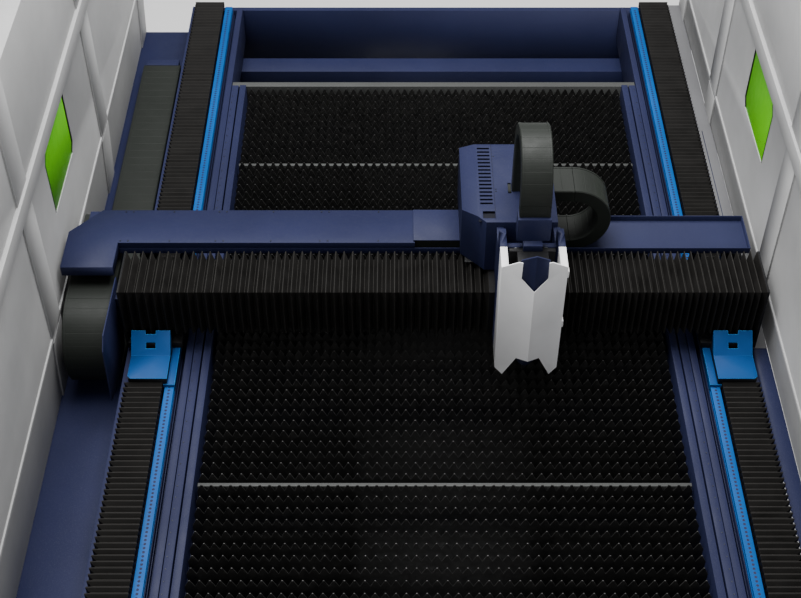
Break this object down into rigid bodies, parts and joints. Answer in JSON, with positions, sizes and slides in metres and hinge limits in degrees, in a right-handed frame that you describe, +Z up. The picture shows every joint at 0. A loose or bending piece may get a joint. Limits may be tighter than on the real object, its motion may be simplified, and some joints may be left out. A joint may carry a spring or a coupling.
{
  "type": "gantry laser cutting machine",
  "caption": "Gantry laser cutter with slatted sheet table, bellows-covered guides, travelling beam, cutting head with drag chains, and side walls with green windows.",
  "frame": {"origin": "centre of the machine's bounding box at floor level", "axes": "+X to the machine's right seen from the operator's end, +Y along the table to the back, +Z up"},
  "size_m": [2.53, 3.36, 2],
  "materials": {
    "navy_paint": "satin",
    "wall_paint": "satin",
    "window_green": "gloss",
    "rail_blue": "gloss",
    "bracket_blue": "satin",
    "steel": "brushed",
    "slat_steel": "oxidised",
    "black_paint": "satin",
    "bellows_cloth": "matt",
    "chain_plastic": "satin",
    "cover_silver": "satin",
    "grey_paint": "satin",
    "nozzle_steel": "polished",
    "motor_black": "satin",
    "foot_iron": "rough"
  },
  "bodies": {
    "bed": {"bed_beams": "navy_paint", "bed_cross_beams": "navy_paint", "bed_legs": "navy_paint", "leveling_feet": "foot_iron", "y_rails": "rail_blue", "y_racks": "steel", "rail_guards": "navy_paint", "right_side_covers": "navy_paint", "chain_trough": "navy_paint", "table_sides": "navy_paint", "slat_combs": "navy_paint", "slats": "slat_steel", "cross_bars": "grey_paint", "table_frame": "grey_paint", "table_cross_members": "navy_paint", "scrap_chutes": "grey_paint", "wall_frame_left": "wall_paint", "wall_frame_right": "wall_paint", "wall_panel_left": "wall_paint", "wall_panel_right": "wall_paint", "wall_trim": "wall_paint", "windows": "window_green", "y_bellows": "bellows_cloth"},
    "gantry": {"gantry_beam": "navy_paint", "gantry_ends": "black_paint", "gantry_feet": "black_paint", "foot_brackets": "bracket_blue", "y_slide_blocks": "bracket_blue", "x_rails": "steel", "x_rack": "steel", "cable_tray": "navy_paint", "tray_lid": "navy_paint", "arm_box": "navy_paint", "arm_side_plate": "navy_paint", "tray_brackets": "navy_paint", "y_servos": "motor_black", "x_bellows_left": "bellows_cloth", "x_bellows_right": "bellows_cloth"},
    "carriage": {"carriage_plate": "black_paint", "x_slide_blocks": "steel", "carriage_servos": "motor_black", "carriage_housing": "navy_paint", "z_frame": "navy_paint", "z_guides": "steel"},
    "head": {"z_slide": "black_paint", "head_body": "black_paint", "nozzle": "nozzle_steel", "head_cover": "cover_silver", "head_shroud": "navy_paint", "z_chain_bracket": "navy_paint"},
    "y_chain": {"y_chain_loop": "chain_plastic", "y_chain_runs": "chain_plastic"},
    "x_chain": {"x_chain_loop": "chain_plastic", "x_chain_runs": "chain_plastic"},
    "z_chain": {"z_chain_loop": "chain_plastic", "z_chain_runs": "chain_plastic"},
    "y_pinion_left_body": {"y_pinion_left": "steel"},
    "y_pinion_right_body": {"y_pinion_right": "steel"},
    "x_pinion_body": {"x_pinion": "steel"}
  },
  "joints": [
    {"name": "gantry_travel", "type": "slide", "parent": "bed", "child": "gantry", "axis": [0, 1, 0], "range_m": [-0.82, 1.56], "deforming": ["y_bellows"]},
    {"name": "carriage_travel", "type": "slide", "parent": "gantry", "child": "carriage", "axis": [1, 0, 0], "range_m": [-1.021, 0.478], "deforming": ["x_bellows_left", "x_bellows_right"]},
    {"name": "head_travel", "type": "slide", "parent": "carriage", "child": "head", "axis": [0, 0, 1], "range_m": [-0.015, 0.09]},
    {"name": "y_chain_travel", "type": "slide", "parent": "bed", "child": "y_chain", "axis": [0, 1, 0], "range_m": [-0.41, 0.78], "deforming": ["y_chain_runs"]},
    {"name": "x_chain_travel", "type": "slide", "parent": "gantry", "child": "x_chain", "axis": [1, 0, 0], "range_m": [-0.5105, 0.239], "deforming": ["x_chain_runs"]},
    {"name": "z_chain_travel", "type": "slide", "parent": "carriage", "child": "z_chain", "axis": [0, 0, 1], "range_m": [-0.0075, 0.045], "deforming": ["z_chain_runs"]},
    {"name": "y_pinion_left_turn", "type": "hinge", "parent": "gantry", "child": "y_pinion_left_body", "pos_m": [-0.918, -0.155, 0.833], "axis": [0, 0, 1], "range_deg": [-2235, 1233]},
    {"name": "y_pinion_right_turn", "type": "hinge", "parent": "gantry", "child": "y_pinion_right_body", "pos_m": [1.092, -0.155, 0.833], "axis": [0, 0, 1], "range_deg": [-1233, 2235]},
    {"name": "x_pinion_turn", "type": "hinge", "parent": "carriage", "child": "x_pinion_body", "pos_m": [0.207, -0.2294, 1.106], "axis": [0, 0, 1], "range_deg": [-1075, 2295]}
  ],
  "couplings": [
    {"joint": "y_chain_travel", "follows": "gantry_travel", "ratio": 0.5},
    {"joint": "y_pinion_left_turn", "follows": "gantry_travel", "rad_per_m": -25},
    {"joint": "y_pinion_right_turn", "follows": "gantry_travel", "rad_per_m": 25},
    {"joint": "x_chain_travel", "follows": "carriage_travel", "ratio": 0.5},
    {"joint": "x_pinion_turn", "follows": "carriage_travel", "rad_per_m": -39.216},
    {"joint": "z_chain_travel", "follows": "head_travel", "ratio": 0.5}
  ]
}
